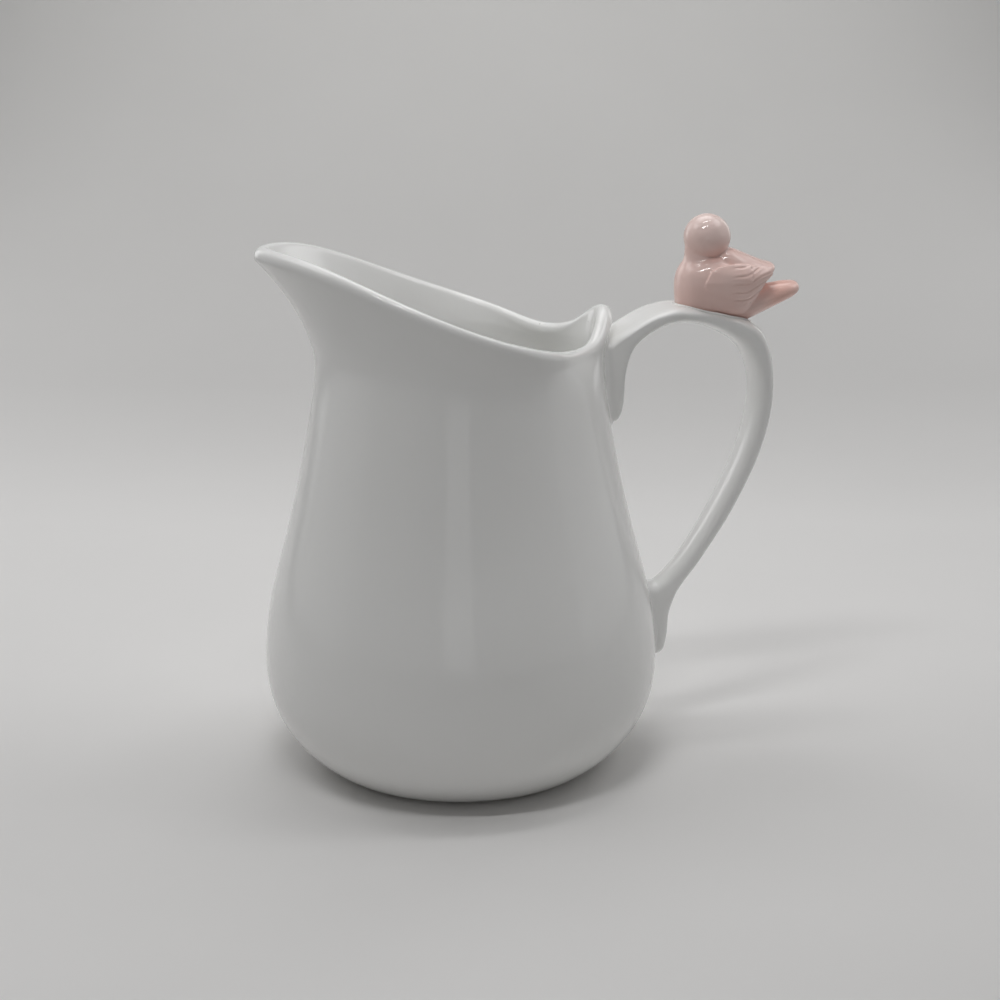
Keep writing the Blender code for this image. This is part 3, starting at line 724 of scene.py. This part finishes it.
# The bird is bedded on the strap in slip. What squeezes out is wiped to a thin bead round its base
# and glazed over with the clear glaze of the strap.
BEAD_WIDTH = 0.4 * MM
BEAD_HEIGHT = 0.28 * MM
BEAD_SHOULDER = 3.2 * MM
BEAD_DROP = 1.5 * MM
EDGE_KEPT_CLEAR = 0.4 * MM
BEAD_SEARCH_HEIGHT = 0.25 * MM
BEAD_TOUCH = 0.3 * MM
bird_surface = BVHTree.FromPolygons([v.co for v in bird_mesh.vertices],
                                    [p.vertices for p in bird_mesh.polygons])


def strap_top(x, y):
    """A point on top of the strap under the bird, held in from its edges."""
    run = slice(CROWN_STATION * STRAP_STEPS - STRAP_STEPS // 2, GRIP_STATION * STRAP_STEPS)
    top = np.interp(x, strap_outer[run, 0], strap_outer[run, 1])
    width = np.interp(x, strap_outer[run, 0], strap_width[run])
    reach = width / 2 - EDGE_KEPT_CLEAR
    y = np.clip(y, -reach, reach)
    over = max(abs(y) - (width / 2 - BEAD_SHOULDER), 0) / BEAD_SHOULDER
    return Vector((x, y, top - BEAD_DROP * (1 - (1 - over * over) ** 0.5)))


def bird_foot():
    """The line round the bird's base where it meets the strap."""
    line = []
    above = Vector((0, 0, BEAD_SEARCH_HEIGHT))
    for t in np.linspace(0, 2 * pi, 120, endpoint=False):
        for reach in np.arange(13.0, 2.0, -0.05) * MM:
            spot = strap_top(perch.x + reach * cos(t), reach * sin(t)) + above
            if bird_surface.find_nearest(spot)[3] < BEAD_TOUCH:
                break
        line.append(spot - above)
    line = np.array(line)
    for _ in range(3):
        line = (np.roll(line, 1, axis=0) + 2 * line + np.roll(line, -1, axis=0)) / 4
    return line


foot_line = bird_foot()
outward = foot_line - np.array([perch.x, 0, 0])
outward[:, 2] = 0
outward /= np.linalg.norm(outward, axis=1)[:, None]
bead_rings = []
for t in np.linspace(0, 2 * pi, 17):
    lift = np.array([0, 0, BEAD_HEIGHT * sin(t)])
    bead_rings.append(foot_line + outward * BEAD_WIDTH * cos(t) + lift)
bead = skin("bird_slip_bead", bead_rings, capped=False)
bead.data.materials.append(porcelain)
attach(bead, "root")
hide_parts("bird_slip_joint")

# The stage is a sheet of white paper swept up behind the jug, inside a white light tent that is open at the
# front. Two lamp bars hang under the tent's roof, and its walls pass their light on.
TENT_TURN = radians(-11.5)
SWEEP_RADIUS = 450.0
SWEEP_START = 230.0
PAPER_FRONT = -480.0
PAPER_TOP = 900.0
PAPER_WIDTH = 860.0
PAPER_COLUMNS = 5


def tent_place(x, y, z):
    """A point given across, away from the camera and up, turned to the camera's side of the tent."""
    return Matrix.Rotation(TENT_TURN, 4, "Z") @ Vector((x, y, z)) * MM


sweep_line = [(PAPER_FRONT, 0.0), (-300.0, 0.0), (0.0, 0.0), (150.0, 0.0)]
sweep_line += [(SWEEP_START + SWEEP_RADIUS * sin(t), SWEEP_RADIUS - SWEEP_RADIUS * cos(t))
               for t in np.linspace(0, pi / 2, 24)]
sweep_line += [(SWEEP_START + SWEEP_RADIUS, PAPER_TOP)]
across = np.linspace(-PAPER_WIDTH / 2, PAPER_WIDTH / 2, PAPER_COLUMNS)
corners = [(PAPER_COLUMNS * i + j, PAPER_COLUMNS * (i + 1) + j)
           for i in range(len(sweep_line) - 1) for j in range(PAPER_COLUMNS - 1)]
paper_mesh = bpy.data.meshes.new("paper_sweep")
paper_mesh.from_pydata([(x * MM, y * MM, z * MM) for y, z in sweep_line for x in across], [],
                       [(near, near + 1, far + 1, far) for near, far in corners])
paper_mesh.shade_smooth()
paper = bpy.data.objects.new("paper_sweep", paper_mesh)
paper.rotation_euler.z = TENT_TURN
bpy.context.collection.objects.link(paper)

# Matt white paper, pressed smooth: a pale grey-white with a faint cloudiness. Painted shade makes it a little
# darker where it begins to rise, and painted light makes it paler up the sweep.
PAPER_CLOUD_SIZE = 60.0 * MM
paper_sheet, tree = material("paper_pressed_matt")
place = node(tree, "ShaderNodeTexCoord")
apart = node(tree, "ShaderNodeSeparateXYZ", {"Vector": (place, "Object")})
# Painted shade and light by height: greyer low on the sweep, paler higher up.
climb = node(tree, "ShaderNodeMapRange", {"Value": (apart, "Z"), "From Min": 12 * MM, "From Max": 140 * MM})
painted_sweep_shading = node(tree, "ShaderNodeMix", {"Factor": (climb, "Result"), "A": srgb("#D9D8D7"),
                                       "B": srgb("#F4F3F1")}, data_type="RGBA")
leave = node(tree, "ShaderNodeMapRange", {"Value": (apart, "Y"), "From Min": 170 * MM, "From Max": 320 * MM})
ground = node(tree, "ShaderNodeMix", {"Factor": (leave, "Result"), "A": srgb("#E8E7E6"),
                                      "B": (painted_sweep_shading, "Result")}, data_type="RGBA")
clouds = node(tree, "ShaderNodeTexNoise", {"Vector": (place, "Object"), "Scale": 1 / PAPER_CLOUD_SIZE,
                                           "Detail": 3.0})
dusk = node(tree, "ShaderNodeMapRange", {"Value": (clouds, "Fac"), "To Min": 0.96, "To Max": 1.0})
tone = node(tree, "ShaderNodeMix", {"Factor": 1.0, "A": (ground, "Result"), "B": (dusk, "Result")},
            data_type="RGBA", blend_type="MULTIPLY")
shader = tree.nodes["Principled BSDF"]
tree.links.new(tone.outputs["Result"], shader.inputs["Base Color"])
shader.inputs["Roughness"].default_value = 0.9
shader.inputs["Specular IOR Level"].default_value = 0.1
paper.data.materials.append(paper_sheet)


def soft_lamp(name, place, aim, size, glow, fade):
    """A lamp or a lit part of the tent, by its size in millimetres, the brightness of its middle and the
    shares of its width and of its height over which it fades out towards each edge."""
    lamp = bpy.data.lights.new(name, "AREA")
    lamp.shape = "RECTANGLE"
    lamp.size, lamp.size_y = size[0] * MM, size[1] * MM
    lamp.energy = glow * pi * lamp.size * lamp.size_y
    lamp.use_nodes = True
    tree = lamp.node_tree
    face = node(tree, "ShaderNodeNewGeometry")
    spot = node(tree, "ShaderNodeSeparateXYZ", {"Vector": (face, "Parametric")})
    sides = []
    for way, share in zip(("X", "Y"), fade):
        shift = node(tree, "ShaderNodeMath", {0: (spot, way), 1: 0.5}, operation="SUBTRACT")
        off = node(tree, "ShaderNodeMath", {0: (shift, "Value")}, operation="ABSOLUTE")
        sides.append(node(tree, "ShaderNodeMapRange", {"Value": (off, "Value"), "From Min": 0.5,
                                                       "From Max": 0.5 - share},
                          interpolation_type="SMOOTHSTEP"))
    both = node(tree, "ShaderNodeMath", {0: (sides[0], "Result"), 1: (sides[1], "Result")},
                operation="MULTIPLY")
    tree.links.new(both.outputs["Value"], tree.nodes["Emission"].inputs["Strength"])
    obj = bpy.data.objects.new(name, lamp)
    obj.location = tent_place(*place)
    obj.rotation_mode = "QUATERNION"
    obj.rotation_quaternion = (tent_place(*aim) - obj.location).to_track_quat("-Z", "Y")
    obj.visible_camera = False
    bpy.context.collection.objects.link(obj)


# Each lamp's place and aim are given across, away from the camera and up, in millimetres.
soft_lamp("roof_bar_middle", (40, 10, 460), (40, 10, 0), (220, 30), 13.8, (0.2, 0.2))
soft_lamp("roof_bar_front", (-50, -209, 460), (-50, -209, 0), (220, 30), 31.4, (0.2, 0.2))
soft_lamp("tent_roof_back", (0, 200, 470), (0, 200, 0), (460, 320), 2.6, (0.35, 0.35))
soft_lamp("tent_roof_front", (0, -100, 470), (0, -100, 0), (460, 400), 0.25, (0.35, 0.35))
soft_lamp("tent_roof_left", (-270, 20, 430), (0, 20, 90), (340, 260), 2.2, (0.35, 0.35))
soft_lamp("tent_roof_right", (270, 60, 430), (0, 60, 90), (340, 260), 2.3, (0.35, 0.35))
soft_lamp("tent_front_top", (0, -420, 330), (0, 0, 60), (420, 200), 0.12, (0.35, 0.35))
soft_lamp("tent_back", (0, 420, 470), (0, 600, 200), (300, 200), 1.33, (0.35, 0.35))
soft_lamp("tent_left_back", (-300, 280, 200), (0, 280, 200), (340, 420), 1.55, (0.35, 0.35))
soft_lamp("tent_left_front", (-300, 20, 160), (0, 20, 160), (300, 420), 0.24, (0.04, 0.3))
soft_lamp("tent_right_back", (300, 330, 200), (0, 330, 200), (280, 420), 1.17, (0.35, 0.35))
soft_lamp("tent_right_front", (300, 65, 160), (0, 65, 160), (340, 420), 0.3, (0.04, 0.3))
soft_lamp("front_slit", (0, -700, 120), (0, 0, 120), (210, 280), 0.52, (0.05, 0.35))

# The air of the tent gives a little light from all round. The camera and the glaze see it as pale paper.
world = bpy.data.worlds.new("tent_air")
world.use_nodes = True
tree = world.node_tree
path = node(tree, "ShaderNodeLightPath")
mirrored = node(tree, "ShaderNodeMath", {0: (path, "Is Camera Ray"), 1: (path, "Is Glossy Ray")},
                operation="ADD")
clear = node(tree, "ShaderNodeMath", {0: (mirrored, "Value"), 1: (path, "Is Transmission Ray")},
             operation="ADD", use_clamp=True)
seen = node(tree, "ShaderNodeMix", {"Factor": (clear, "Value"), "A": srgb("#3A3A3A"), "B": srgb("#B6B5B4")},
            data_type="RGBA")
tree.links.new(seen.outputs["Result"], tree.nodes["Background"].inputs["Color"])
bpy.context.scene.world = world

# The camera looks in through the open front, a little from above.
CAMERA_RISE = radians(16)
CAMERA_DISTANCE = 400 * MM
CAMERA_AIM = Vector((8.16, -1.66, 55.87)) * MM
CAMERA_LENS = 68.69
CAMERA_SENSOR = 36.0
camera = bpy.data.objects.new("camera", bpy.data.cameras.new("camera"))
bpy.context.collection.objects.link(camera)
away = tent_place(0, -cos(CAMERA_RISE), sin(CAMERA_RISE)) / MM
camera.location = CAMERA_AIM + away * CAMERA_DISTANCE
camera.rotation_mode = "QUATERNION"
camera.rotation_quaternion = (-away).to_track_quat("-Z", "Y")
camera.data.lens = CAMERA_LENS
camera.data.sensor_width = CAMERA_SENSOR
camera.data.clip_start = 10 * MM
bpy.context.scene.camera = camera
bpy.context.scene.view_settings.view_transform = "Standard"
# Light that enters the white jug is passed on from wall to wall many times before it comes out again.
bpy.context.scene.cycles.diffuse_bounces = 8
